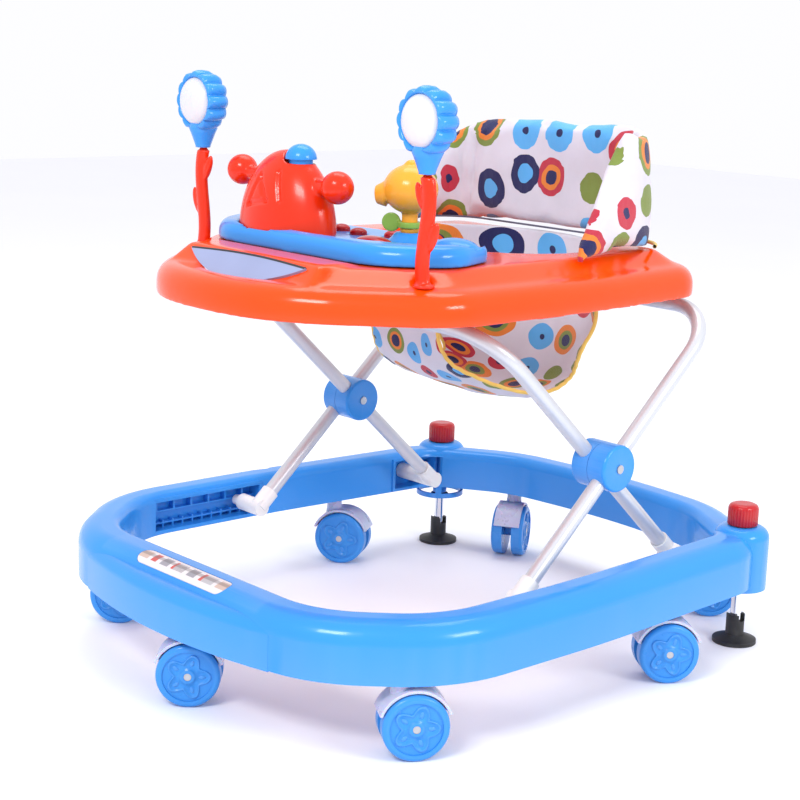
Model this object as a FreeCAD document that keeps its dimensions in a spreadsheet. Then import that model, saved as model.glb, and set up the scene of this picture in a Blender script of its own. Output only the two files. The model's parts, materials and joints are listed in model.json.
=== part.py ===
import FreeCAD, Part
import math
import os

import Sketcher

# A baby walker: a moulded base ring on seven twin-wheel casters, two floor stoppers, a pair of
# U-shaped steel tubes crossing as scissors, and a tray with a toy console and a fabric seat.
# X is across the walker, +Y points to the rear, Z is up and the floor is at zero.

doc = FreeCAD.newDocument("baby_walker")
dims = doc.addObject("Spreadsheet::Sheet", "dims")
V = FreeCAD.Vector

DIMENSIONS = {
    # base ring
    "ring_half_width": 23,
    "ring_top": 128,
    "ring_skirt": 71,
    "ring_inner_skirt": 80,
    "wall": 3,
    # casters
    "wheel_radius": 31.5,
    "wheel_width": 14,
    "wheel_gap": 12,
    "core_radius": 8,
    "caster_trail": 12,
    "hood_radius": 35.5,
    "hood_width": 32,
    "stem_radius": 5,
    "boss_radius": 9,
    # stoppers
    "stopper_x": 240,
    "stopper_y": 257,
    "tower_radius": 30,
    "tower_top": 133,
    "rod_radius": 6.2,
    "cap_radius": 16.5,
    "cap_height": 24,
    "foot_radius": 24,
    # scissor frame
    "tube_radius": 8,
    "tube_wall": 1.2,
    "leg_angle": 42.5,
    "lower_arm": 173,
    "upper_arm": 218,
    "bend_radius": 60,
    "pivot_y": 195,
    "pivot_z": 102,
    "rear_frame_x": 190,
    "front_frame_x": 210,
    "hub_radius": 24.5,
    "hub_half": 22.6,
    "bolt_radius": 3,
    # tray
    "tray_bottom": 380,
    "rim_top": 414,
    "deck_top": 429,
    "deck_inset": 44,
    "seat_hole_y": 84,
    "seat_half_x": 130,
    "seat_half_y": 104,
    "seat_depth": 174,
    # console and toys
    "console_bottom": 429.6,
    "console_top": 450,
    "stem_x": 174,
    "stem_y": -167,
    "stem_top": 518,
    "flower_z": 567,
    "flower_radius": 26,
    "red_toy_x": -55,
    "red_toy_y": -147,
    "yellow_toy_x": 65,
    "yellow_toy_y": -88,
}

for row, (alias, value) in enumerate(DIMENSIONS.items(), start=1):
    dims.set("A%d" % row, alias)
    dims.set("B%d" % row, str(value))
    dims.setAlias("B%d" % row, alias)
doc.recompute()

ALONG_X = FreeCAD.Rotation(V(0, 1, 0), 90)
ALONG_Y = FreeCAD.Rotation(V(1, 0, 0), -90)
UPRIGHT = FreeCAD.Rotation()

nodes = []


def dim(alias):
    """The number behind one driving dimension."""
    return float(dims.get(alias))


def bind(thing, links):
    """Set each property to a number, or tie it to a formula of the driving dimensions."""
    for key, value in links.items():
        if isinstance(value, str):
            thing.setExpression(key, value)
        else:
            setattr(thing, key, value)


def place(thing, at, turn=UPRIGHT):
    """Put a shape at a point whose coordinates are numbers or formulas."""
    thing.Placement = FreeCAD.Placement(V(), turn)
    for axis, value in zip("xyz", at):
        if isinstance(value, str):
            thing.setExpression("Placement.Base." + axis, value)
        else:
            setattr(thing.Placement.Base, axis, value)
    return thing


def solid(kind, name, at, turn=UPRIGHT, **links):
    """One primitive solid."""
    thing = doc.addObject("Part::" + kind, name)
    bind(thing, links)
    return place(thing, at, turn)


def cut(name, base, tool):
    thing = doc.addObject("Part::Cut", name)
    thing.Base = base
    thing.Tool = tool
    return thing


def common(name, base, tool):
    thing = doc.addObject("Part::Common", name)
    thing.Base = base
    thing.Tool = tool
    return thing


def fuse(name, *things):
    thing = doc.addObject("Part::MultiFuse", name)
    thing.Shapes = list(things)
    return thing


def round_edges(name, base, radius, wanted):
    """Round every edge of base that the test picks."""
    doc.recompute()
    picked = [i for i, edge in enumerate(base.Shape.Edges, start=1) if wanted(edge)]
    thing = doc.addObject("Part::Fillet", name)
    thing.Base = base
    thing.Edges = [(i, radius, radius) for i in picked]
    return thing


def level_edges(height):
    """Picks edges that lie wholly at one height."""
    return lambda edge: (abs(edge.BoundBox.ZMin - height) < 0.05
                         and abs(edge.BoundBox.ZMax - height) < 0.05)


def node(name, thing):
    """Mark a shape as a finished piece, exported under this name."""
    thing.Label = name
    nodes.append(thing)
    return thing


def both_sides(half):
    """All corners of a closed outline from those of its +X half, front to rear."""
    return half + [(-x, y, radius) for x, y, radius in reversed(half) if x > 0.01]


def rounded_loop(name, corners, distance=0, height=0):
    """A closed outline of straight runs and arcs in a level plane, moved inwards by a distance.

    Each corner is x, y and the radius that rounds it; the loop runs anticlockwise.
    """
    arcs = []
    for i, (x, y, radius) in enumerate(corners):
        before = V(*corners[i - 1][:2], 0)
        after = V(*corners[(i + 1) % len(corners)][:2], 0)
        here = V(x, y, 0)
        arrive = (here - before).normalize()
        leave = (after - here).normalize()
        turn = arrive.getAngle(leave)
        inward = V(-arrive.y, arrive.x, 0)
        centre = here - arrive * (radius * math.tan(turn / 2)) + inward * radius
        start = math.atan2(-inward.y, -inward.x)
        arcs.append((centre, radius - distance, start, start + turn))
    sketch = doc.addObject("Sketcher::SketchObject", name)
    for centre, radius, start, end in arcs:
        circle = Part.Circle(centre, V(0, 0, 1), radius)
        sketch.addGeometry(Part.ArcOfCircle(circle, start, end), False)
    for i, (centre, radius, _, end) in enumerate(arcs):
        other, other_radius, start, _ = arcs[(i + 1) % len(arcs)]
        sketch.addGeometry(Part.LineSegment(centre + polar(radius, end),
                                            other + polar(other_radius, start)), False)
    return place(sketch, (0, 0, height))


def polar(radius, angle):
    return V(radius * math.cos(angle), radius * math.sin(angle), 0)


def rise(name, sketch, height):
    """A solid standing on a closed sketch."""
    thing = doc.addObject("Part::Extrusion", name)
    thing.Base = sketch
    thing.DirMode = "Custom"
    thing.Dir = V(0, 0, 1)
    thing.Solid = True
    bind(thing, {"LengthFwd": height})
    return thing


def chain_sketch(name, corners, rounds, turn, at):
    """A closed section of straight lines with rounded corners, in its own plane."""
    sketch = doc.addObject("Sketcher::SketchObject", name)
    count = len(corners)
    for i in range(count):
        start = V(*corners[i], 0)
        end = V(*corners[(i + 1) % count], 0)
        sketch.addGeometry(Part.LineSegment(start, end), False)
    for i in range(count):
        sketch.addConstraint(Sketcher.Constraint("Coincident", i, 2, (i + 1) % count, 1))
    for i, radius in enumerate(rounds):
        if radius:
            sketch.fillet(i, 1, radius)
    return place(sketch, at, turn)


def sweep(name, spine, section):
    thing = doc.addObject("Part::Sweep", name)
    thing.Sections = [section]
    thing.Spine = (spine, [])
    thing.Solid = True
    thing.Frenet = False
    return thing


# ---------------------------------------------------------------- base ring

# corners of the middle line of the ring's +X half, front to rear: x, y, rounding
RING_HALF = [(180, -303, 120), (267, -208, 130), (267, -20, 1500), (250, 240, 60),
             (150, 307, 150), (0, 322, 800)]


def ring_section(name, shrink):
    """Half of the channel: the outer skin, or the hollow inside it when shrunk by the wall."""
    half = dim("ring_half_width") - shrink
    top = dim("ring_top") - shrink
    drop = 1 if shrink else 0
    skirt = dim("ring_skirt") - drop
    inner_skirt = dim("ring_inner_skirt") - drop * 10
    corners = [(-half, skirt), (-half, top), (half, top), (half, inner_skirt)]
    rounds = [0, 22 - shrink, 11 - shrink, 0]
    across = FreeCAD.Rotation(V(0, 1, 0), V(0, 0, 1), V(1, 0, 0), "XYZ")
    return chain_sketch(name, corners, rounds, across, (0, RING_HALF[0][1], 0))


def ring_body(name, shrink):
    path = rounded_loop(name + "_path", both_sides(RING_HALF))
    return sweep(name + "_ring", path, ring_section(name + "_section", shrink))


def bumper(name, shrink):
    """The shallow bulge across the front."""
    disc = solid("Cylinder", name + "_disc", (0, 277, 70 - 10 * (shrink > 0)),
                 Radius=620 - shrink, Height=46 - shrink + 10 * (shrink > 0))
    strip = solid("Box", name + "_strip", (-152 + shrink, -350, 50),
                  Length=304 - 2 * shrink, Width=50, Height=80)
    piece = common(name + "_bulge", disc, strip)
    return round_edges(name + "_rounded", piece, 12 - shrink,
                       lambda e: level_edges(116 - shrink)(e) and e.BoundBox.YMin < shrink - 340)


def tower(name, side, shrink):
    """The domed corner that guides a stopper."""
    low = 64 - 8 * (shrink > 0)
    high = dim("tower_top") - shrink
    post = solid("Cylinder", name + "_post", ("%d * dims.stopper_x" % side, "dims.stopper_y", low),
                 Radius="dims.tower_radius - %g" % shrink, Height=high - low)
    return round_edges(name + "_dome", post, 13, level_edges(high))


def rack_block(name, side):
    """Solid backing in the channel in which the front legs slide."""
    return solid("Box", name, (242 if side > 0 else -266, -184, 81),
                 Length=24, Width=154, Height=41)


def rack_recess(name, side):
    return solid("Box", name, (232 if side > 0 else -262, -180, 85),
                 Length=30, Width=146, Height=33)


def rack_teeth(name, side):
    """Upright ribs between the height positions and a rail of short ribs below them."""
    x = 254 if side > 0 else -262.5
    ribs = []
    for i in range(6):
        ribs.append(solid("Box", "%s_tooth_%d" % (name, i), (x, -172 + 24 * i, 104),
                          Length=8.5, Width=2.4, Height=15))
    for i in range(11):
        ribs.append(solid("Box", "%s_fin_%d" % (name, i), (x, -176 + 13.5 * i, 84),
                          Length=8.5, Width=1.6, Height=9))
    for i, z in enumerate((89, 103)):
        ribs.append(solid("Box", "%s_rail_%d" % (name, i), (x, -181, z),
                          Length=8.5, Width=148, Height=1.8))
    return ribs


def socket_block(name, side):
    """Backing of the ribbed rear socket."""
    return solid("Box", name, (229.5 if side > 0 else -256.5, 166, 81),
                 Length=27, Width=74, Height=41)


def socket_recess(name, side):
    return solid("Box", name, (213 if side > 0 else -247.5, 170, 84),
                 Length=34.5, Width=66, Height=35)


def socket_ribs(name, side):
    x = 239.5 if side > 0 else -248
    ribs = []
    for i in range(5):
        ribs.append(solid("Box", "%s_rib_%d" % (name, i), (x, 208, 87 + 6.5 * i),
                          Length=8.5, Width=29, Height=1.6))
    return ribs


CASTERS = [
    # name, x, y, direction in which the wheels trail
    ("front", 30, -309, 228),
    ("front_left", 245, -243.5, 59),
    ("front_right", -231.5, -245.6, 45),
    ("side_left", 258.5, 96, 55),
    ("side_right", -258.5, 96, 34),
    ("rear_left", 150, 303, 50),
    ("rear_right", -150, 303, -57),
]


def base_ring():
    skin = fuse("base_skin", ring_body("skin", 0), bumper("skin_bumper", 0),
                tower("skin_tower_left", 1, 0), tower("skin_tower_right", -1, 0))
    hollow = fuse("base_hollow", ring_body("hollow", dim("wall")),
                  bumper("hollow_bumper", dim("wall")),
                  tower("hollow_tower_left", 1, dim("wall")),
                  tower("hollow_tower_right", -1, dim("wall")))
    shell = cut("base_shell", skin, hollow)
    inside = []
    holes = []
    added = []
    for side, word in ((1, "left"), (-1, "right")):
        inside.append(rack_block("rack_block_" + word, side))
        inside.append(socket_block("socket_block_" + word, side))
        inside.append(solid("Cylinder", "rod_guide_" + word,
                            ("%d * dims.stopper_x" % side, "dims.stopper_y", 66),
                            Radius="dims.rod_radius + 2.6", Height=65))
        holes.append(rack_recess("rack_recess_" + word, side))
        holes.append(socket_recess("socket_recess_" + word, side))
        holes.append(solid("Cylinder", "rod_bore_" + word,
                           ("%d * dims.stopper_x" % side, "dims.stopper_y", 50),
                           Radius="dims.rod_radius + 0.08", Height=100))
        holes.append(solid("Cylinder", "leg_pin_bore_" + word,
                           (247 if side > 0 else -255, "dims.pivot_y", "dims.pivot_z"), ALONG_X,
                           Radius=6.08, Height=8))
        added += rack_teeth("rack_" + word, side)
        added += socket_ribs("socket_" + word, side)
    for name, x, y, _ in CASTERS:
        boss = solid("Cylinder", "boss_" + name, (x, y, 78), Radius="dims.boss_radius", Height=46.5)
        inside.append(common("boss_within_" + name, skin, boss))
        holes.append(solid("Cylinder", "boss_bore_" + name, (x, y, 60),
                           Radius="dims.stem_radius + 0.08", Height=55))
    holes.append(label_shape("label_recess", 0, 20.6, 24))
    filled = fuse("base_filled", shell, *inside)
    bored = cut("base_bored", filled, fuse("base_holes", *holes))
    return node("base_ring", fuse("base_ring", bored, *added))


def label_shape(name, shrink, low, high):
    """The long lozenge wrapped on the outer shoulder of the front, between two radii."""
    axis = V(-80, -304, dim("ring_top") - 22)
    lean = FreeCAD.Rotation(V(1, 0, 0), 20)
    corner = V(0, axis.y, axis.z) + lean.multVec(V(shrink - 72, shrink - 11, 8))
    plate = solid("Box", name + "_plate", tuple(corner), lean,
                  Length=144 - 2 * shrink, Width=22 - 2 * shrink, Height=20)
    rounded = round_edges(name + "_rounded", plate, 10 - shrink, lambda e: abs(e.Length - 20) < 0.01)
    drums = [solid("Cylinder", "%s_drum_%d" % (name, i), tuple(axis), ALONG_X, Radius=radius, Height=160)
             for i, radius in enumerate((low, high))]
    return common(name, rounded, cut(name + "_shell", drums[1], drums[0]))


# ---------------------------------------------------------------- casters

def caster_housing(name, at, turn):
    """Hood over the twin wheels, web down to the core between them, and the swivel stem."""
    hub = (dim("caster_trail"), 0, dim("wheel_radius"))
    start = FreeCAD.Rotation(V(0, 1, 0), -160).multiply(ALONG_Y)
    half = dim("hood_width") / 2
    parts = []
    for word, radius, depth in (("skin", "dims.hood_radius", 2 * half), ("web", "dims.hood_radius", 8)):
        parts.append(solid("Cylinder", "%s_%s" % (name, word), (hub[0], -depth / 2, hub[2]), start,
                           Radius=radius, Height=depth, Angle=140))
    inner = solid("Cylinder", name + "_inside", (hub[0], -half - 1, hub[2]), ALONG_Y,
                  Radius="dims.wheel_radius + 1.4", Height=2 * half + 2)
    hood = cut(name + "_hood", parts[0], inner)
    stem = solid("Cylinder", name + "_stem", (0, 0, 58),
                 Radius="dims.stem_radius", Height=55)
    collar = solid("Cone", name + "_collar", (0, 0, 52), Radius1=11, Radius2=8.5, Height=24.5)
    collar_cut = cut(name + "_collar_fitted", collar, solid(
        "Cylinder", name + "_collar_space", (hub[0], -half - 1, hub[2]), ALONG_Y,
        Radius="dims.wheel_radius + 1.4", Height=2 * half + 2))
    whole = fuse(name + "_whole", hood, parts[1], collar_cut, stem)
    bore = solid("Cylinder", name + "_bore", (hub[0], -10, hub[2]), ALONG_Y,
                 Radius="dims.core_radius + 0.1", Height=20)
    mouth = solid("Box", name + "_mouth", (hub[0] - 7, -10, hub[2] - 40),
                  Length=14, Width=20, Height=40)
    housing = cut(name, whole, fuse(name + "_opening", bore, mouth))
    housing.Placement = FreeCAD.Placement(V(*at), turn)
    return node(name, housing)


def caster_wheels(name, at, turn):
    """Two wheels moulded with the core between them, a raised rim round each face."""
    x = dim("caster_trail")
    z = dim("wheel_radius")
    half = dim("wheel_gap") / 2 + dim("wheel_width")
    body = solid("Cylinder", name + "_drum", (x, -half, z), ALONG_Y,
                 Radius="dims.wheel_radius", Height=2 * half)
    rounded = round_edges(name + "_rounded", body, 4,
                          lambda e: e.BoundBox.YLength < 0.1 and e.BoundBox.ZLength > 10)
    gap = cut(name + "_gap",
              solid("Cylinder", name + "_gap_drum", (x, "-dims.wheel_gap / 2", z), ALONG_Y,
                    Radius="dims.wheel_radius + 2", Height="dims.wheel_gap"),
              solid("Cylinder", name + "_core", (x, "-dims.wheel_gap / 2 - 1", z), ALONG_Y,
                    Radius="dims.core_radius", Height="dims.wheel_gap + 2"))
    near = solid("Cylinder", name + "_near_face", (x, -half - 1, z), ALONG_Y,
                 Radius="dims.wheel_radius - 6.5", Height=2.6)
    far = solid("Cylinder", name + "_far_face", (x, half - 1.6, z), ALONG_Y,
                Radius="dims.wheel_radius - 6.5", Height=2.6)
    bore = solid("Cylinder", name + "_bore", (x, -half - 1, z), ALONG_Y,
                 Radius=2.05, Height=2 * half + 2)
    wheels = cut(name, rounded, fuse(name + "_removed", gap, near, far, bore))
    wheels.Placement = FreeCAD.Placement(V(*at), turn)
    return node(name, wheels)


def caster_screw(name, at, turn):
    x = dim("caster_trail")
    z = dim("wheel_radius")
    half = dim("wheel_gap") / 2 + dim("wheel_width")
    shank = solid("Cylinder", name + "_shank", (x, -half + 1, z), ALONG_Y,
                  Radius=2, Height=2 * half - 2)
    heads = [solid("Cylinder", "%s_head_%d" % (name, i), (x, y, z), ALONG_Y, Radius=3.6, Height=1.7)
             for i, y in enumerate((-half - 0.15, half - 1.55))]
    screw = fuse(name, shank, *heads)
    screw.Placement = FreeCAD.Placement(V(*at), turn)
    return node(name, screw)


def casters():
    for word, x, y, heading in CASTERS:
        at = (x, y, 0)
        turn = FreeCAD.Rotation(V(0, 0, 1), heading)
        caster_housing("caster_housing_" + word, at, turn)
        caster_wheels("caster_wheels_" + word, at, turn)
        caster_screw("caster_screw_" + word, at, turn)


# ---------------------------------------------------------------- stoppers

def stopper(side, word):
    """Red push cap, plated rod and rubber foot; the foot stands on the floor."""
    x = "%d * dims.stopper_x" % side
    y = "dims.stopper_y"
    seat = dim("tower_top") + 0.5
    top = seat + dim("cap_height")
    drum = solid("Cylinder", "cap_drum_" + word, (x, y, seat),
                 Radius="dims.cap_radius", Height="dims.cap_height")
    rounded = round_edges("cap_rounded_" + word, drum, 3, level_edges(top))
    bore = solid("Cylinder", "cap_bore_" + word, (x, y, seat - 1),
                 Radius="dims.rod_radius + 0.05", Height=15)
    node("stopper_cap_" + word, cut("stopper_cap_" + word, rounded, bore))

    rod = solid("Cylinder", "rod_" + word, (x, y, 9), Radius="dims.rod_radius", Height=seat + 4)
    node("stopper_rod_" + word, rod)

    disc = solid("Cylinder", "foot_disc_" + word, (x, y, 0), Radius="dims.foot_radius", Height=4)
    skirt = solid("Cone", "foot_cone_" + word, (x, y, 4), Radius1="dims.foot_radius - 1",
                  Radius2=11, Height=5)
    sleeve = solid("Cylinder", "foot_sleeve_" + word, (x, y, 4), Radius=10, Height=28)
    whole = fuse("foot_whole_" + word, disc, skirt, sleeve)
    pocket = solid("Cylinder", "foot_pocket_" + word, (x, y, 8.5),
                   Radius="dims.rod_radius + 0.05", Height=30)
    slot = solid("Box", "foot_slot_" + word, ("%d * dims.stopper_x - 12" % side,
                                              "dims.stopper_y - 5", 25),
                 Length=24, Width=10, Height=10)
    node("stopper_foot_" + word,
         cut("stopper_foot_" + word, whole, fuse("foot_removed_" + word, pocket, slot)))


# ---------------------------------------------------------------- scissor frame

def leg_frame(name, frame_x, at, rising_to_rear, drop):
    """A U-shaped tube: two arms, two bends and the crossbar under the tray.

    Drawn in its own plane with the arms running along local Y from the lower ends.
    """
    reach = "(dims.lower_arm + dims.upper_arm - %g)" % drop
    half = dim(frame_x)
    length = dim("lower_arm") + dim("upper_arm") - drop
    bend = dim("bend_radius")
    path = doc.addObject("Sketcher::SketchObject", name + "_path")
    path.addGeometry(Part.LineSegment(V(half, 0, 0), V(half, length - bend, 0)), False)
    path.addGeometry(Part.ArcOfCircle(Part.Circle(V(half - bend, length - bend, 0), V(0, 0, 1), bend),
                                      0, math.pi / 2), False)
    path.addGeometry(Part.LineSegment(V(half - bend, length, 0), V(bend - half, length, 0)), False)
    path.addGeometry(Part.ArcOfCircle(Part.Circle(V(bend - half, length - bend, 0), V(0, 0, 1), bend),
                                      math.pi / 2, math.pi), False)
    path.addGeometry(Part.LineSegment(V(-half, length - bend, 0), V(-half, 0, 0)), False)
    for link in (("Tangent", 0, 2, 1, 1), ("Tangent", 1, 2, 2, 1), ("Tangent", 2, 2, 3, 1),
                 ("Tangent", 3, 2, 4, 1), ("Vertical", 0), ("Vertical", 4), ("Horizontal", 2)):
        path.addConstraint(Sketcher.Constraint(*link))
    path.addConstraint(Sketcher.Constraint("DistanceX", -1, 1, 0, 1, half))
    path.addConstraint(Sketcher.Constraint("DistanceX", 4, 2, -1, 1, half))
    path.addConstraint(Sketcher.Constraint("PointOnObject", 0, 1, -1))
    path.addConstraint(Sketcher.Constraint("PointOnObject", 4, 2, -1))
    path.addConstraint(Sketcher.Constraint("DistanceY", -1, 1, 2, 1, length))
    path.addConstraint(Sketcher.Constraint("Radius", 1, bend))
    path.addConstraint(Sketcher.Constraint("Radius", 3, bend))
    for index, formula in ((7, "dims." + frame_x), (8, "dims." + frame_x), (11, reach),
                           (12, "dims.bend_radius"), (13, "dims.bend_radius")):
        path.setExpression("Constraints[%d]" % index, formula)
    sweeps = []
    for word, radius in (("outer", "dims.tube_radius"), ("inner", "dims.tube_radius - dims.tube_wall")):
        section = doc.addObject("Part::Circle", "%s_%s_circle" % (name, word))
        bind(section, {"Radius": radius})
        place(section, ("dims." + frame_x, 0, 0), ALONG_Y)
        sweeps.append(sweep("%s_%s" % (name, word), path, section))
    tube = cut(name + "_tube", *sweeps)
    angle = dim("leg_angle") if rising_to_rear else 180 - dim("leg_angle")
    tube.Placement = FreeCAD.Placement(V(*at), FreeCAD.Rotation(V(1, 0, 0), angle))
    return tube


def points_on_legs():
    """Where the frames pivot, cross and meet the tray, as (y, z)."""
    angle = math.radians(dim("leg_angle"))
    run = (math.cos(angle), math.sin(angle))
    rear = (dim("pivot_y"), dim("pivot_z"))
    cross = (rear[0] - dim("lower_arm") * run[0], rear[1] + dim("lower_arm") * run[1])
    front = (cross[0] - dim("lower_arm") * run[0], rear[1])
    front_bar = (cross[0] - dim("upper_arm") * run[0], cross[1] + dim("upper_arm") * run[1])
    rear_bar = (cross[0] + dim("upper_arm") * run[0], front_bar[1])
    return rear, cross, front, front_bar, rear_bar


def leg_frames():
    rear, cross, front, _, _ = points_on_legs()
    drop = 14
    lift = (drop * math.cos(math.radians(dim("leg_angle"))),
            drop * math.sin(math.radians(dim("leg_angle"))))
    bolt = {"Radius": "dims.bolt_radius + 0.05", "Height": 500}
    for name, frame_x, foot, to_rear in (
            ("rear_leg_frame", "rear_frame_x", rear, False),
            ("front_leg_frame", "front_frame_x", front, True)):
        way = 1 if to_rear else -1
        at = (0, foot[0] + way * lift[0], foot[1] + lift[1])
        tube = leg_frame(name, frame_x, at, to_rear, drop)
        hole = solid("Cylinder", name + "_bolt_hole", (-250, cross[0], cross[1]), ALONG_X, **bolt)
        node(name, cut(name, tube, hole))


def hub_half(name, side, inner, frame_x, to_rear):
    """Half of a hub, clamped round one tube and turning against the other half."""
    _, cross, _, _, _ = points_on_legs()
    thick = dim("hub_half")
    start = 200 - thick if inner else 200.3
    if side < 0:
        start = -start - (thick - 0.3)
    drum = solid("Cylinder", name + "_drum", (start, cross[0], cross[1]), ALONG_X,
                 Radius="dims.hub_radius", Height=thick - 0.3)
    outer_face = 200 - thick if inner else 200 + thick
    rounded = round_edges(name + "_rounded", drum, 3,
                          lambda e: abs(abs(e.BoundBox.XMin) - outer_face) < 0.05
                          and e.BoundBox.XLength < 0.1)
    angle = dim("leg_angle") if to_rear else 180 - dim("leg_angle")
    lean = FreeCAD.Rotation(V(1, 0, 0), angle).multiply(ALONG_Y)
    run = (math.cos(math.radians(angle)), math.sin(math.radians(angle)))
    channel = solid("Cylinder", name + "_channel",
                    (side * dim(frame_x), cross[0] - 40 * run[0], cross[1] - 40 * run[1]), lean,
                    Radius="dims.tube_radius + 0.05", Height=80)
    bore = solid("Cylinder", name + "_bore", (-250, cross[0], cross[1]), ALONG_X,
                 Radius="dims.bolt_radius + 0.06", Height=500)
    return node(name, cut(name, rounded, fuse(name + "_removed", channel, bore)))


def hubs():
    _, cross, _, _, _ = points_on_legs()
    thick = dim("hub_half")
    bolts = []
    for side, word in ((1, "left"), (-1, "right")):
        hub_half("hub_inner_" + word, side, True, "rear_frame_x", False)
        hub_half("hub_outer_" + word, side, False, "front_frame_x", True)
        shank = solid("Cylinder", "bolt_shank_" + word,
                      (side * 200 - thick - 0.1, cross[0], cross[1]), ALONG_X,
                      Radius="dims.bolt_radius", Height=2 * thick + 0.2)
        bolts.append(shank)
        for i, x in enumerate((200 - thick - 1.5, 200 + thick + 0.05)):
            start = x if side > 0 else -x - 1.45
            bolts.append(solid("Cylinder", "bolt_head_%s_%d" % (word, i),
                               (start, cross[0], cross[1]), ALONG_X, Radius=4.6, Height=1.45))
    node("hub_bolts", fuse("hub_bolts", *bolts))


def leg_end(name, side, frame_x, at, to_rear, wall_x, pin_x):
    """Moulded end of a leg: a cup on the tube, a barrel and a pin that enters the base."""
    angle = dim("leg_angle") if to_rear else 180 - dim("leg_angle")
    lean = FreeCAD.Rotation(V(1, 0, 0), angle).multiply(ALONG_Y)
    run = (math.cos(math.radians(angle)), math.sin(math.radians(angle)))
    x = side * dim(frame_x)
    cup = solid("Cylinder", name + "_cup", (x, at[0], at[1]), lean,
                Radius="dims.tube_radius + 2", Height=24)
    barrel_from = dim(frame_x) - 8
    start = barrel_from if side > 0 else -wall_x
    barrel = solid("Cylinder", name + "_barrel", (start, at[0], at[1]), ALONG_X,
                   Radius=9.5, Height=wall_x - barrel_from)
    start = barrel_from if side > 0 else -pin_x
    pin = solid("Cylinder", name + "_pin", (start, at[0], at[1]), ALONG_X,
                Radius=6, Height=pin_x - barrel_from)
    whole = fuse(name + "_whole", cup, barrel, pin)
    socket = solid("Cylinder", name + "_socket",
                   (x, at[0] + 13.9 * run[0], at[1] + 13.9 * run[1]), lean,
                   Radius="dims.tube_radius + 0.05", Height=60)
    return node(name, cut(name, whole, socket))


def leg_ends():
    rear, _, front, _, _ = points_on_legs()
    for side, word in ((1, "left"), (-1, "right")):
        leg_end("rear_leg_end_" + word, side, "rear_frame_x", rear, False, 246, 254)
        leg_end("front_leg_end_" + word, side, "front_frame_x", front, True, 240, 252)


# ---------------------------------------------------------------- tray

# corners of the tray's +X half, front to rear: x, y, rounding
TRAY_HALF = [(0, -300, 300), (106, -282, 160), (212, -167, 90), (214, -10, 1500),
             (192, 232, 55), (0, 241, 900)]


def tray_block(name, distance, bottom, top, radius):
    outline = rounded_loop(name + "_outline", both_sides(TRAY_HALF), distance, bottom)
    block = rise(name + "_block", outline, top - bottom)
    return round_edges(name, block, radius, level_edges(top))


def tray_crown(name, low_distance, low, high_distance, high):
    """The part of the tray that rises from the rim to the deck."""
    crown = doc.addObject("Part::Loft", name)
    crown.Sections = [rounded_loop(name + "_low", both_sides(TRAY_HALF), low_distance, low),
                      rounded_loop(name + "_high", both_sides(TRAY_HALF), high_distance, high)]
    crown.Solid = True
    crown.Ruled = True
    return crown


def windscreen_slope():
    """Placement of the sloping front face of the cowl."""
    turn = FreeCAD.Rotation(V(1, 0, 0), 43.7)
    return FreeCAD.Placement(V(0, -246.1, 419), turn)


def crescent(name, half, low, high, bottom, thick):
    """A flat half-moon plate lying on the cowl's slope, between two heights above it."""
    sketch = doc.addObject("Sketcher::SketchObject", name + "_outline")
    end = V(half, high - 4, 0)
    other = V(-half, high - 4, 0)
    sketch.addGeometry(Part.Arc(other, V(0, low, 0), end), False)
    sketch.addGeometry(Part.Arc(end, V(0, high, 0), other), False)
    plate = doc.addObject("Part::Extrusion", name)
    plate.Base = sketch
    plate.DirMode = "Custom"
    plate.Dir = V(0, 0, 1)
    plate.LengthRev = -bottom
    plate.LengthFwd = bottom + thick
    plate.Solid = True
    plate.Placement = windscreen_slope()
    return plate


def sloped(name, block, sink):
    """A block trimmed in front to the slope of the windscreen, sunk by a distance."""
    doc.recompute()
    slope = windscreen_slope()
    box = solid("Box", name + "_slope", tuple(slope.multVec(V(-250, -100, -sink))),
                slope.Rotation, Length=500, Width=200, Height=120)
    return cut(name, block, box)


def cowl(name):
    """Raised nose between the console and the front rim, with a sloping face."""
    block = solid("Wedge", name, (0, 0, 0), FreeCAD.Rotation(V(1, 0, 0), 90),
                  Xmin=-122, Xmax=122, X2min=-104, X2max=104,
                  Zmin=193, Zmax=266, Z2min=193, Z2max=260, Ymin=400, Ymax=431.5)
    limit = rise(name + "_limit", rounded_loop(name + "_outline", both_sides(TRAY_HALF), 16, 390), 60)
    return sloped(name + "_sloped", common(name + "_trimmed", block, limit), 0)


def bar_rib(name, side):
    """A rib under the deck that the front crossbar slides along."""
    _, _, _, bar, _ = points_on_legs()
    low = bar[1] + dim("tube_radius") + 0.6
    return solid("Box", name, (side * 62 - 1.5, bar[0] - 128, low),
                 Length=3, Width=142, Height=dim("deck_top") - 1.5 - low)


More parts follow.
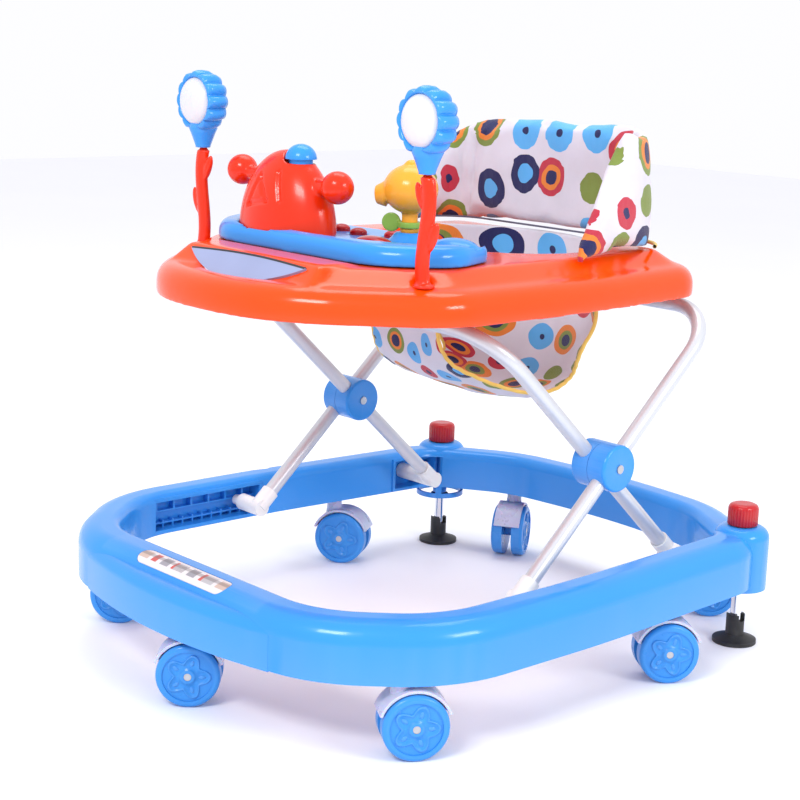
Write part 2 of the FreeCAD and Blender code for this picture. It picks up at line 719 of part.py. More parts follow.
def tray():
    bottom = dim("tray_bottom")
    rim = dim("rim_top")
    deck = dim("deck_top")
    edge = dim("deck_inset")
    wall = dim("wall")
    skin = fuse("tray_skin", tray_block("tray_rim", 0, bottom, rim, 20),
                sloped("crown_sloped", tray_crown("tray_crown", 12, rim - 5, edge, deck), 1),
                cowl("tray_cowl"))
    hollow = fuse("tray_hollow", tray_block("rim_hollow", wall, bottom - 5, rim - wall, 17),
                  sloped("crown_hollow_sloped",
                         tray_crown("crown_hollow", 14, rim - 8, edge + 2, deck - wall), 4))
    shell = cut("tray_open_shell", skin, hollow)
    collar = seat_oval("seat_collar", wall, bottom + 14, deck - bottom - 14)
    added = [shell, collar]
    removed = [seat_oval("seat_opening", 0, bottom - 10, 80),
               crescent("lens_recess", 93.5, -18.5, 15.5, -1.7, 20)]
    for side, word in ((1, "left"), (-1, "right")):
        added.append(bar_rib("bar_rib_" + word, side))
        x = "%d * dims.stem_x" % side
        plug = solid("Cylinder", "stem_plug_" + word, (x, "dims.stem_y", rim - 12), Radius=13, Height=40)
        added.append(common("stem_seat_" + word, skin, plug))
        removed.append(solid("Cylinder", "stem_pocket_" + word, (x, "dims.stem_y", "dims.rim_top"),
                             Radius=10.4, Height=30))
    whole = fuse("tray_whole", *added)
    node("tray_shell", cut("tray_shell", whole, fuse("tray_removed", *removed)))
    node("windscreen", crescent("windscreen", 91.4, -17.6, 14.4, -1.3, 3.3))


def rear_clamps():
    """Two blocks under the rear of the deck, bored for the rear crossbar."""
    _, _, _, _, bar = points_on_legs()
    blocks = []
    for side in (1, -1):
        blocks.append(solid("Box", "clamp_block_%d" % (side + 1), (side * 70 - 12, bar[0] - 12, 353),
                            Length=24, Width=19, Height=57.6))
    limit = tray_block("clamp_limit", dim("wall") + 0.4, 340, dim("rim_top") - dim("wall") - 0.4, 17)
    bore = solid("Cylinder", "clamp_bore", (-120, bar[0], bar[1]), ALONG_X,
                 Radius="dims.tube_radius + 0.08", Height=240)
    inside = common("clamps_inside_rim", fuse("clamp_blocks", *blocks), limit)
    node("rear_tube_clamps", cut("rear_tube_clamps", inside, bore))


# ---------------------------------------------------------------- console and toys

CONSOLE_HALF = [(0, -191, 500), (138, -188, 80), (174, -120, 50), (148, -50, 42), (0, -37, 400)]

BUTTONS = [("button_a", -44, -84), ("button_b", -8, -92), ("button_c", 27, -76)]


def console():
    bottom = dim("console_bottom")
    top = dim("console_top")
    floor = bottom + 12
    outline = rounded_loop("console_outline", both_sides(CONSOLE_HALF), 0, bottom)
    block = round_edges("console_block", rise("console_rise", outline, top - bottom), 13,
                        level_edges(top))
    well = oval("console_well", 158, 81, (0, -95), floor, 40)
    added = [cut("console_lip", block, well)]
    added.append(solid("Cone", "toy_pedestal", ("dims.yellow_toy_x", "dims.yellow_toy_y", floor - 1),
                       Radius1=23, Radius2=13, Height=11))
    for side in (1, -1):
        mound = solid("Ellipsoid", "console_mound_%d" % (side + 1), (side * 126, -82, floor - 1),
                      Radius1=11, Radius2=27, Radius3=20, Angle1=0)
        added.append(mound)
    removed = [solid("Box", "console_underside", (-150, -170, bottom - 1), Length=300, Width=115, Height=1.2)]
    for name, x, y in BUTTONS:
        removed.append(solid("Cylinder", name + "_bore", (x, y, bottom + 2), Radius=9.4, Height=30))
    removed.append(oval("big_button_bore", 24.4, 13.4, (68, -137), bottom + 2, 30))
    removed.append(solid("Cylinder", "toy_stalk_bore", ("dims.yellow_toy_x", "dims.yellow_toy_y",
                                                        bottom + 2), Radius=8.08, Height=40))
    removed.append(solid("Ellipsoid", "red_toy_pocket", ("dims.red_toy_x", "dims.red_toy_y", floor + 0.05),
                         Radius1=83.4, Radius2=64.4, Radius3=38.4, Angle1=0))
    node("toy_console", cut("toy_console", fuse("console_whole", *added),
                            fuse("console_removed", *removed)))


def oval(name, half_x, half_y, at, bottom, height):
    outline = doc.addObject("Part::Ellipse", name + "_oval")
    bind(outline, {"MajorRadius": half_x, "MinorRadius": half_y})
    place(outline, (at[0], at[1], bottom))
    return rise(name, outline, height)


def seat_oval(name, grow, bottom, height):
    """The oval opening that carries the seat, grown by a distance."""
    outline = doc.addObject("Part::Ellipse", name + "_oval")
    bind(outline, {"MajorRadius": "dims.seat_half_x + %g" % grow,
                   "MinorRadius": "dims.seat_half_y + %g" % grow})
    place(outline, (0, "dims.seat_hole_y", bottom))
    return rise(name, outline, height)


def buttons():
    """Domed push buttons, each in its own bore."""
    bottom = dim("console_bottom") + 5.6
    for name, x, y in BUTTONS:
        barrel = solid("Cylinder", name + "_barrel", (x, y, bottom), Radius=9, Height=8)
        dome = solid("Ellipsoid", name + "_dome", (x, y, bottom + 8),
                     Radius1=5, Radius2=9, Radius3=9, Angle1=0)
        node(name, fuse(name, barrel, dome))
    barrel = oval("button_big_barrel", 24, 13, (68, -137), bottom, 8)
    dome = solid("Ellipsoid", "button_big_dome", (68, -137, bottom + 8),
                 Radius1=7, Radius2=24, Radius3=13, Angle1=0)
    node("button_big", fuse("button_big", barrel, dome))


def red_toy():
    """A dome with a ball on a short neck at each side and a blue push cap on top."""
    x = dim("red_toy_x")
    y = dim("red_toy_y")
    base = dim("console_bottom") + 12.4
    parts = [solid("Ellipsoid", "red_toy_dome", ("dims.red_toy_x", "dims.red_toy_y", base),
                   Radius1=83, Radius2=64, Radius3=38, Angle1=0)]
    for i, (reach, height, radius, neck) in enumerate(((-77, 57, 16, 7), (78, 51, 16.5, 8))):
        parts.append(solid("Sphere", "red_toy_ball_%d" % i, (x + reach, y, base + height), Radius=radius))
        start = x + min(reach, 0)
        parts.append(solid("Cylinder", "red_toy_neck_%d" % i, (start, y, base + height - 2), ALONG_X,
                           Radius=neck, Height=abs(reach)))
    seat = solid("Cylinder", "red_toy_cap_seat", (x + 20, y, base + 64), Radius=15, Height=7)
    bore = solid("Cylinder", "red_toy_cap_bore", (x + 20, y, base + 56), Radius=12.4, Height=40)
    lump = fuse("red_toy_lump", *parts, seat)
    trim = solid("Cylinder", "red_toy_trim", (x + 20, y, base + 71), Radius=16.6, Height=30)
    node("red_toy_body", cut("red_toy_body", lump, fuse("red_toy_removed", bore, trim)))
    plunger = solid("Cylinder", "cap_plunger", (x + 20, y, base + 61), Radius=12, Height=14)
    crown = solid("Ellipsoid", "cap_crown", (x + 20, y, base + 75),
                  Radius1=15, Radius2=16, Radius3=16, Angle1=0)
    node("red_toy_cap", fuse("red_toy_cap", plunger, crown))


def yellow_toy():
    """A round-headed bird on a stalk, with a green leaf clipped to the stalk."""
    x = dim("yellow_toy_x")
    y = dim("yellow_toy_y")
    floor = dim("console_bottom") + 12
    stalk = solid("Cylinder", "bird_stalk", (x, y, floor - 8), Radius=8, Height=46)
    foot = solid("Cylinder", "bird_foot", (x, y, floor + 10.4), Radius=9.5, Height=3)
    head = solid("Ellipsoid", "bird_head", (x, y, floor + 52), Radius1=24.5, Radius2=28, Radius3=27)
    crest = solid("Sphere", "bird_crest", (x, y, floor + 73), Radius=8)
    beak = solid("Cone", "bird_beak", (x - 20, y - 15, floor + 46),
                 FreeCAD.Rotation(V(0, 0, 1), V(-0.8, -0.6, -0.12)), Radius1=13, Radius2=9, Height=10)
    node("yellow_toy", fuse("yellow_toy", stalk, foot, head, crest, beak))
    ring = solid("Cylinder", "leaf_ring", (x, y, floor + 13.8), Radius=12, Height=6)
    blade = solid("Cylinder", "leaf_blade", (x - 17, y - 9, floor + 18.5),
                  FreeCAD.Rotation(V(0, 0, 1), V(0.6, -0.8, 0)), Radius=9.5, Height=3)
    bore = solid("Cylinder", "leaf_bore", (x, y, floor + 5), Radius=8.05, Height=30)
    node("yellow_toy_leaf", cut("yellow_toy_leaf", fuse("leaf_whole", ring, blade), bore))


# ---------------------------------------------------------------- flower mirrors

def mirror_stem(side, word):
    """A branching stem with two leaf lobes, standing on the tray rim."""
    x = side * dim("stem_x")
    y = dim("stem_y")
    foot = dim("rim_top") + 0.2
    top = dim("stem_top")
    curve = Part.BSplineCurve()
    curve.interpolate([V(0, 0, 0), V(-side * 3, 26, 0), V(side * 2, 62, 0), V(0, top - foot - 1.5, 0)])
    path = doc.addObject("Sketcher::SketchObject", "mirror_path_" + word)
    path.addGeometry(curve, False)
    place(path, (x, y, foot), FreeCAD.Rotation(V(1, 0, 0), 90))
    section = doc.addObject("Part::Ellipse", "mirror_section_" + word)
    bind(section, {"MajorRadius": 8.5, "MinorRadius": 5.6})
    place(section, (x, y, foot))
    rod = sweep("mirror_rod_" + word, path, section)
    base = solid("Cylinder", "mirror_foot_" + word, (x, y, foot), Radius=10, Height=4)
    pin = solid("Cylinder", "mirror_pin_" + word, (x, y, top - 4), Radius=3.6, Height=13.6)
    high = solid("Ellipsoid", "mirror_leaf_high_" + word, (x - side * 8, y, top - 20),
                 FreeCAD.Rotation(V(0, 1, 0), -side * 24), Radius1=15, Radius2=5, Radius3=4)
    low = solid("Ellipsoid", "mirror_leaf_low_" + word, (x + side * 10, y, top - 56),
                FreeCAD.Rotation(V(0, 1, 0), side * 22), Radius1=16, Radius2=5.5, Radius3=4)
    node("mirror_stem_" + word, fuse("mirror_stem_" + word, rod, base, pin, high, low))


def mirror_head(side, word):
    """Scalloped flower frame on a conical socket, with a domed lens facing forwards."""
    x = side * dim("stem_x")
    y = dim("stem_y")
    z = dim("flower_z")
    radius = dim("flower_radius")
    front = y - 8
    depth = 26
    petals = [solid("Cylinder", "flower_disc_" + word, (x, front, z), ALONG_Y,
                    Radius="dims.flower_radius", Height=depth)]
    for i in range(12):
        angle = 2 * math.pi * (i + 0.5) / 12
        petals.append(solid("Cylinder", "petal_%s_%d" % (word, i),
                            (x + (radius - 1.5) * math.cos(angle), front + 1,
                             z + (radius - 1.5) * math.sin(angle)), ALONG_Y,
                            Radius=7.2, Height=depth - 2))
    petals.append(solid("Cone", "flower_socket_" + word, (x, y, "dims.stem_top + 0.3"),
                        Radius1=6.5, Radius2=14, Height=20))
    recess = solid("Cylinder", "flower_recess_" + word, (x, front - 1, z), ALONG_Y,
                   Radius=25, Height=7)
    bore = solid("Cylinder", "flower_bore_" + word, (x, y, dim("stem_top") - 5), Radius=3.68, Height=15.2)
    node("mirror_frame_" + word, cut("mirror_frame_" + word, fuse("flower_whole_" + word, *petals),
                                     fuse("flower_removed_" + word, recess, bore)))
    plate = solid("Cylinder", "lens_plate_" + word, (x, front + 0.4, z), ALONG_Y,
                  Radius=24.6, Height=5.3)
    dome = solid("Ellipsoid", "lens_dome_" + word, (x, front + 0.5, z),
                 FreeCAD.Rotation(V(1, 0, 0), 90), Radius1=9, Radius2=24, Radius3=24, Angle1=0)
    node("mirror_dome_" + word, fuse("mirror_dome_" + word, plate, dome))


# ---------------------------------------------------------------- seat

# corners of the +X half of the seat back's plan, front to rear: x, y, rounding
BACK_HALF = [(168, -60, 40), (168, 197, 62), (0, 202, 700)]


def back_solid(name, distance, low, high):
    """The seat back's plan carried upwards, a little narrower at the top."""
    loft = doc.addObject("Part::Loft", name)
    loft.Sections = [rounded_loop(name + "_low", both_sides(BACK_HALF), distance, low),
                     rounded_loop(name + "_high", both_sides(BACK_HALF), distance + 10, high)]
    loft.Solid = True
    loft.Ruled = True
    return loft


def seat():
    """Fabric bucket hung in the tray opening, and the padded back standing behind it."""
    deck = dim("deck_top")
    bowls = []
    for word, shrink in (("outer", 0), ("inner", 5)):
        bowls.append(solid("Ellipsoid", "bucket_" + word, (0, "dims.seat_hole_y", deck + 2),
                           Radius1="dims.seat_depth - %g" % shrink,
                           Radius2="dims.seat_half_x - %g" % (shrink + 4),
                           Radius3="dims.seat_half_y - %g" % (shrink + 4), Angle1=-90, Angle2=0))
    flange = cut("bucket_flange", seat_oval("flange_outer", 6, deck + 0.4, 2.6),
                 seat_oval("flange_inner", -9, deck - 1, 8))
    whole = fuse("bucket_whole", cut("bucket_shell", bowls[0], bowls[1]), flange)
    holes = []
    for side in (1, -1):
        start = 48 if side > 0 else -168
        holes.append(solid("Cylinder", "leg_hole_%d" % (side + 1), (start, 60, 351), ALONG_X,
                           Radius=70, Height=120))
    node("seat_bucket", cut("seat_bucket", whole, fuse("leg_holes", *holes)))

    wall = cut("back_wall", back_solid("back_outer", 0, deck + 4, 560),
               back_solid("back_inner", 14, deck, 564))
    lean = FreeCAD.Rotation(V(1, 0, 0), -43)
    corner = V(-200, 36, deck) - lean.multVec(V(0, 400, 130))
    front = solid("Box", "back_slice", tuple(corner), lean, Length=400, Width=400, Height=400)
    node("seat_back", cut("seat_back", wall, front))


base_ring()
node("front_label", label_shape("front_label", 0.4, 20.9, 21.9))
casters()
for direction, word in ((1, "left"), (-1, "right")):
    stopper(direction, word)
leg_frames()
hubs()
leg_ends()
tray()
rear_clamps()
console()
buttons()
red_toy()
yellow_toy()
for direction, word in ((1, "left"), (-1, "right")):
    mirror_stem(direction, word)
    mirror_head(direction, word)
seat()

doc.recompute()
os.makedirs("parts", exist_ok=True)
for piece in nodes:
    broken = {"Invalid", "Error"} & set(piece.State)
    shape = piece.Shape
    if broken or shape.isNull() or not shape.isValid():
        raise RuntimeError("%s did not build: %s" % (piece.Label, piece.State))
    shape.exportStep("parts/%s.step" % piece.Label)
print("%d pieces written" % len(nodes))
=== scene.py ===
import json
import math

import bmesh
import bpy
from mathutils import Matrix, Vector, noise


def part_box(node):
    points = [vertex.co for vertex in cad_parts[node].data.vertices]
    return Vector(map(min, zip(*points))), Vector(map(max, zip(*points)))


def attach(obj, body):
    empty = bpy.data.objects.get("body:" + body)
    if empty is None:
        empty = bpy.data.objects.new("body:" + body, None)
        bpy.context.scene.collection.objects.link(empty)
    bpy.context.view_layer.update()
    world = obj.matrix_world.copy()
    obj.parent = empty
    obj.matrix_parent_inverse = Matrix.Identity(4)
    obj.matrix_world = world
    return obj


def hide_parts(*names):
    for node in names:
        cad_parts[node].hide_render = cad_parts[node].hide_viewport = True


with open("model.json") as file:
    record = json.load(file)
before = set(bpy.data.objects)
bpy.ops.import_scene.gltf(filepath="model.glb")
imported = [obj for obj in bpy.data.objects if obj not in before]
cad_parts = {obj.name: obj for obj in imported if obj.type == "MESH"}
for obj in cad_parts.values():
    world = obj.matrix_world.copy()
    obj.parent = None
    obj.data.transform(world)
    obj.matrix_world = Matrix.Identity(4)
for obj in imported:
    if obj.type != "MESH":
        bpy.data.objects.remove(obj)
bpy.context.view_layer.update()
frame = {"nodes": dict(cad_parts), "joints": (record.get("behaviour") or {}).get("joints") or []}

NODES = frame["nodes"]
CASTERS = ["front", "front_left", "front_right", "side_left", "side_right", "rear_left", "rear_right"]
SIDES = (("left", 1), ("right", -1))

# without a seed of its own, mathutils takes the offsets of noise_vector from the clock
noise.seed_set(1)


# ---------------------------------------------------------------- node materials

class Graph:
    """A material's nodes, with short ways to add and join them."""

    def __init__(self, name):
        self.material = bpy.data.materials.new(name)
        self.material.use_nodes = True
        self.nodes = self.material.node_tree.nodes
        self.links = self.material.node_tree.links
        self.shader = self.nodes["Principled BSDF"]

    def add(self, kind, **settings):
        node = self.nodes.new("ShaderNode" + kind)
        for key, value in settings.items():
            if key in node.inputs:
                node.inputs[key].default_value = value
            else:
                setattr(node, key, value)
        return node

    def join(self, source, target):
        self.links.new(source, target)

    def math(self, operation, a, b=0.0):
        node = self.add("Math", operation=operation)
        for socket, value in zip(node.inputs, (a, b)):
            if isinstance(value, (int, float)):
                socket.default_value = value
            else:
                self.join(value, socket)
        return node.outputs[0]

    def mix(self, factor, first, second, blend="MIX"):
        node = self.add("Mix", data_type="RGBA", blend_type=blend)
        for socket, value in zip((node.inputs[0], node.inputs[6], node.inputs[7]),
                                 (factor, first, second)):
            if isinstance(value, (int, float)):
                socket.default_value = value
            elif isinstance(value, tuple):
                socket.default_value = (*value, 1.0)
            else:
                self.join(value, socket)
        return node.outputs[2]

    def ramp(self, factor, stops, interpolation="LINEAR"):
        node = self.add("ValToRGB")
        node.color_ramp.interpolation = interpolation
        elements = node.color_ramp.elements
        while len(elements) < len(stops):
            elements.new(0.5)
        for element, (position, colour) in zip(elements, stops):
            element.position = position
            element.color = (*colour, 1.0) if isinstance(colour, tuple) else (colour,) * 3 + (1.0,)
        self.join(factor, node.inputs[0])
        return node.outputs[0]

    def place(self):
        return self.add("TexCoord").outputs["Object"]

    def noise(self, scale, detail=3.0, where=None):
        node = self.add("TexNoise", Scale=scale, Detail=detail)
        self.join(where or self.place(), node.inputs["Vector"])
        return node.outputs["Fac"]

    def bump(self, height, strength, distance):
        node = self.add("Bump", Strength=strength, Distance=distance)
        self.join(height, node.inputs["Height"])
        self.join(node.outputs[0], self.shader.inputs["Normal"])

    def set(self, **values):
        for key, value in values.items():
            socket = self.shader.inputs[key.replace("_", " ")]
            socket.default_value = (*value, 1.0) if isinstance(value, tuple) else value


def darker(colour, share):
    return tuple(c * share for c in colour)


def plastic(name, colour, rough=0.2, glow=0.0, bump=0.12, wear=0.25):
    """Injection-moulded plastic: faint flow marks, a slight orange peel, rubbed edges."""
    g = Graph(name)
    flow = g.noise(9.0, 2.0)
    base = g.mix(flow, darker(colour, 0.93), tuple(min(1.0, c * 1.05) for c in colour))
    edge = g.ramp(g.add("NewGeometry").outputs["Pointiness"], [(0.52, 0.0), (0.60, wear)])
    pale = tuple(min(1.0, c * 0.8 + 0.16) for c in colour)
    g.join(g.mix(edge, base, pale), g.shader.inputs["Base Color"])
    smear = g.noise(35.0, 4.0)
    g.join(g.ramp(smear, [(0.3, rough * 0.8), (0.7, rough * 1.25)]), g.shader.inputs["Roughness"])
    g.bump(g.noise(260.0, 2.0), bump, 0.0003)
    g.set(IOR=1.36, Coat_Weight=0.15, Coat_Roughness=0.08, Subsurface_Weight=glow, Subsurface_Scale=0.004)
    g.shader.inputs["Subsurface Radius"].default_value = (1.0, 0.6, 0.5)
    return g.material


def enamel(name, colour):
    """Sprayed silver-white enamel on steel tube, with a fine metallic fleck."""
    g = Graph(name)
    fleck = g.noise(900.0, 1.0)
    broad = g.noise(14.0, 3.0)
    base = g.mix(fleck, darker(colour, 0.9), tuple(min(1.0, c * 1.04) for c in colour))
    g.join(g.mix(g.ramp(broad, [(0.35, 0.0), (0.75, 0.25)]), base, darker(colour, 0.82)),
           g.shader.inputs["Base Color"])
    g.join(g.ramp(broad, [(0.3, 0.28), (0.7, 0.4)]), g.shader.inputs["Roughness"])
    g.bump(g.noise(320.0, 2.0), 0.15, 0.0002)
    g.set(Metallic=0.35, Coat_Weight=0.3, Coat_Roughness=0.15)
    return g.material


def metal(name, colour, rough):
    """Plated or brushed steel with faint turning marks and smudges."""
    g = Graph(name)
    smudge = g.noise(60.0, 5.0)
    g.join(g.mix(smudge, darker(colour, 0.85), colour), g.shader.inputs["Base Color"])
    g.join(g.ramp(smudge, [(0.3, rough * 0.7), (0.7, rough * 1.5)]), g.shader.inputs["Roughness"])
    marks = g.add("TexWave", Scale=420.0, Distortion=0.6, bands_direction="Z")
    g.join(g.place(), marks.inputs["Vector"])
    g.bump(marks.outputs["Fac"], 0.06, 0.0001)
    g.set(Metallic=1.0)
    return g.material


def rubber(name, colour):
    """Black moulded rubber with dust in its grain."""
    g = Graph(name)
    dust = g.noise(45.0, 6.0)
    g.join(g.mix(g.ramp(dust, [(0.45, 0.0), (0.8, 0.35)]), colour, (0.12, 0.12, 0.12)),
           g.shader.inputs["Base Color"])
    g.join(g.ramp(dust, [(0.3, 0.45), (0.7, 0.65)]), g.shader.inputs["Roughness"])
    g.bump(g.noise(500.0, 3.0), 0.25, 0.0003)
    return g.material


def milky(name, colour):
    """Translucent natural plastic, as on the caster hoods."""
    g = Graph(name)
    g.join(g.mix(g.noise(20.0, 3.0), darker(colour, 0.92), colour), g.shader.inputs["Base Color"])
    g.join(g.ramp(g.noise(50.0, 3.0), [(0.3, 0.22), (0.7, 0.38)]), g.shader.inputs["Roughness"])
    g.bump(g.noise(300.0, 2.0), 0.1, 0.0003)
    g.set(Transmission_Weight=0.15, Subsurface_Weight=0.5, Subsurface_Scale=0.006, IOR=1.45)
    return g.material


def lens(name, colour):
    """Smoky glossy film with a faint vertical grading."""
    g = Graph(name)
    grade = g.noise(12.0, 2.0)
    g.join(g.mix(grade, darker(colour, 0.8), tuple(min(1.0, c * 1.15) for c in colour)),
           g.shader.inputs["Base Color"])
    g.join(g.ramp(g.noise(40.0, 2.0), [(0.3, 0.08), (0.7, 0.16)]), g.shader.inputs["Roughness"])
    g.bump(g.noise(120.0, 2.0), 0.05, 0.0002)
    g.set(Coat_Weight=0.6, Coat_Roughness=0.04)
    return g.material


def sticker(name):
    """A generic printed label: coloured panels and thin dark rules, no lettering."""
    g = Graph(name)
    split = g.add("SeparateXYZ")
    g.join(g.place(), split.inputs[0])
    along = g.math("MULTIPLY_ADD", split.outputs[0], 7.1)
    g.nodes[-1].inputs[2].default_value = 0.5
    paper = (0.70, 0.68, 0.70)
    red = (0.55, 0.09, 0.08)
    tan = (0.55, 0.42, 0.36)
    slate = (0.30, 0.30, 0.34)
    panels = g.ramp(along, [(0.0, tan), (0.10, paper), (0.14, red), (0.20, paper), (0.25, slate),
                            (0.34, paper), (0.38, red), (0.41, (0.42, 0.40, 0.42)), (0.52, paper),
                            (0.57, slate), (0.66, paper), (0.71, red), (0.74, (0.45, 0.44, 0.46)),
                            (0.86, paper), (0.90, tan)], "CONSTANT")
    across = g.math("MULTIPLY_ADD", split.outputs[1], 45.0)
    g.nodes[-1].inputs[2].default_value = 14.45
    rules = g.add("TexWave", Scale=30.0, bands_direction="Y")
    g.join(g.place(), rules.inputs["Vector"])
    band = g.ramp(across, [(0.0, 0.0), (0.25, 1.0), (0.75, 0.0)], "CONSTANT")
    lined = g.mix(g.math("MULTIPLY", g.ramp(rules.outputs["Fac"], [(0.55, 0.0), (0.7, 0.5)]), band),
                  panels, (0.12, 0.1, 0.1))
    g.join(g.mix(band, paper, lined), g.shader.inputs["Base Color"])
    g.join(g.ramp(g.noise(60.0), [(0.3, 0.25), (0.7, 0.4)]), g.shader.inputs["Roughness"])
    g.bump(g.noise(200.0), 0.1, 0.0002)
    return g.material


def weave(g, strength, distance):
    """A plain weave of fine threads over the cloth's own flat coordinates."""
    flat = g.add("UVMap", uv_map="cloth").outputs[0]
    warp = g.add("TexWave", Scale=260.0, bands_direction="X", Distortion=0.5)
    weft = g.add("TexWave", Scale=260.0, bands_direction="Y", Distortion=0.5)
    for wave in (warp, weft):
        g.join(flat, wave.inputs["Vector"])
    threads = g.math("ADD", warp.outputs["Fac"], weft.outputs["Fac"])
    wrinkle = g.math("MULTIPLY", g.noise(38.0, 4.0), 6.0)
    g.bump(g.math("ADD", wrinkle, threads), strength, distance)
    return flat


NAVY = (0.010, 0.012, 0.09)
SKY = (0.10, 0.42, 0.82)
ORANGE = (0.78, 0.22, 0.03)
OLIVE = (0.20, 0.27, 0.05)
CRIMSON = (0.52, 0.03, 0.06)
COTTON = (0.70, 0.68, 0.76)


def dotted_cotton(name):
    """White cotton printed with hand-drawn spots of a few ringed kinds."""
    g = Graph(name)
    flat = weave(g, 0.35, 0.0007)
    wobble = g.add("TexNoise", Scale=30.0, Detail=1.0)
    g.join(flat, wobble.inputs["Vector"])
    shift = g.add("VectorMath", operation="MULTIPLY_ADD")
    g.join(wobble.outputs["Color"], shift.inputs[0])
    shift.inputs[1].default_value = (0.006, 0.006, 0.0)
    g.join(flat, shift.inputs[2])
    cells = g.add("TexVoronoi", voronoi_dimensions="2D", Scale=18.5, Randomness=0.42)
    g.join(shift.outputs[0], cells.inputs["Vector"])
    kind = g.add("SeparateColor")
    g.join(cells.outputs["Color"], kind.inputs[0])
    away = cells.outputs["Distance"]
    rings = [
        [(0.0, NAVY), (0.17, OLIVE), (0.28, ORANGE), (0.43, COTTON)],
        [(0.0, SKY), (0.20, NAVY), (0.41, COTTON)],
        [(0.0, NAVY), (0.08, SKY), (0.38, COTTON)],
        [(0.0, OLIVE), (0.32, COTTON)],
        [(0.0, NAVY), (0.20, ORANGE), (0.30, OLIVE), (0.42, COTTON)],
        [(0.0, NAVY), (0.16, ORANGE), (0.27, CRIMSON), (0.40, COTTON)],
        [(0.0, NAVY), (0.10, CRIMSON), (0.30, COTTON)],
    ]
    colour = g.ramp(away, rings[0], "CONSTANT")
    for i, stops in enumerate(rings[1:], start=1):
        chosen = g.math("GREATER_THAN", kind.outputs[0], i / len(rings))
        colour = g.mix(chosen, colour, g.ramp(away, stops, "CONSTANT"))
    soft = g.ramp(g.noise(16.0, 4.0), [(0.3, 0.86), (0.7, 1.0)])
    g.join(g.mix(1.0, colour, soft, "MULTIPLY"), g.shader.inputs["Base Color"])
    g.join(g.ramp(g.noise(80.0), [(0.3, 0.75), (0.7, 0.9)]), g.shader.inputs["Roughness"])
    g.set(Sheen_Weight=0.25, Sheen_Roughness=0.5, Specular_IOR_Level=0.3, Subsurface_Weight=0.08,
          Subsurface_Scale=0.003)
    return g.material


def tape(name, colour):
    """Woven binding tape."""
    g = Graph(name)
    g.join(g.mix(g.noise(90.0, 3.0), darker(colour, 0.8), colour), g.shader.inputs["Base Color"])
    g.join(g.ramp(g.noise(60.0), [(0.3, 0.7), (0.7, 0.85)]), g.shader.inputs["Roughness"])
    g.bump(g.noise(700.0, 2.0), 0.4, 0.0004)
    g.set(Sheen_Weight=0.2)
    return g.material


BLUE = (0.030, 0.27, 0.76)
TRAY_ORANGE = (0.88, 0.062, 0.0)
TOY_RED = (0.74, 0.026, 0.002)

blue = plastic("blue_plastic", BLUE, 0.2)
wheel_blue = plastic("wheel_plastic", (0.035, 0.26, 0.70), 0.3, bump=0.2, wear=0.3)
orange = plastic("orange_plastic", TRAY_ORANGE, 0.16, glow=0.05)
stem_red = plastic("stem_red_plastic", TOY_RED, 0.22, glow=0.05)
cap_red = plastic("cap_red_plastic", (0.46, 0.005, 0.010), 0.22)
dark_red = plastic("dark_red_plastic", (0.36, 0.006, 0.012), 0.15)
yellow = plastic("yellow_plastic", (0.84, 0.36, 0.03), 0.25, glow=0.1)
green = plastic("green_plastic", (0.24, 0.42, 0.06), 0.3)
white = plastic("white_plastic", (0.78, 0.78, 0.77), 0.3, glow=0.1)
pearl = plastic("pearl_plastic", (0.64, 0.64, 0.68), 0.25, glow=0.2)
# black plastic for the stopper collars and the lens seal; the same material also paints the shade inside
# the mirrors' screw holes
black = plastic("black_plastic_and_hole_shade", (0.01, 0.01, 0.012), 0.35)
silver = enamel("tube_enamel", (0.62, 0.64, 0.68))
chrome = metal("rod_chrome", (0.82, 0.83, 0.85), 0.12)
steel = metal("screw_steel", (0.55, 0.55, 0.56), 0.3)
foot_black = rubber("foot_rubber", (0.012, 0.012, 0.013))
hood_milk = milky("hood_plastic", (0.66, 0.68, 0.86))
smoke = lens("lens_plastic", (0.26, 0.31, 0.52))
thread = tape("seam_thread", (0.10, 0.10, 0.16))
label_print = sticker("label_film")
cotton = dotted_cotton("seat_fabric")
binding = tape("binding_tape", (0.86, 0.58, 0.12))

FINISH = {
    "base_ring": blue, "front_label": label_print, "rear_leg_frame": silver, "front_leg_frame": silver,
    "hub_bolts": steel, "tray_shell": orange, "windscreen": smoke, "rear_tube_clamps": orange,
    "toy_console": blue, "button_a": cap_red, "button_b": cap_red, "button_c": cap_red,
    "button_big": dark_red, "red_toy_body": stem_red, "red_toy_cap": blue, "yellow_toy": yellow,
    "yellow_toy_leaf": green, "seat_bucket": cotton, "seat_back": cotton,
}
for word in CASTERS:
    FINISH["caster_housing_" + word] = hood_milk
    FINISH["caster_wheels_" + word] = wheel_blue
    FINISH["caster_screw_" + word] = steel
for word, _ in SIDES:
    FINISH.update({"stopper_cap_" + word: cap_red, "stopper_rod_" + word: chrome,
                   "stopper_foot_" + word: foot_black, "hub_inner_" + word: blue,
                   "hub_outer_" + word: blue, "rear_leg_end_" + word: white,
                   "front_leg_end_" + word: white, "mirror_stem_" + word: stem_red,
                   "mirror_frame_" + word: blue, "mirror_dome_" + word: pearl})
for name, thing in NODES.items():
    thing.data.materials.clear()
    thing.data.materials.append(FINISH[name])


# ---------------------------------------------------------------- making meshes

def make(name, points, faces, body, material):
    """A mesh piece that rides on a body."""
    mesh = bpy.data.meshes.new(name)
    mesh.from_pydata([tuple(p) for p in points], [], faces)
    mesh.materials.append(material)
    for polygon in mesh.polygons:
        polygon.use_smooth = True
    thing = bpy.data.objects.new(name, mesh)
    bpy.context.scene.collection.objects.link(thing)
    if body:
        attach(thing, body)
    return thing


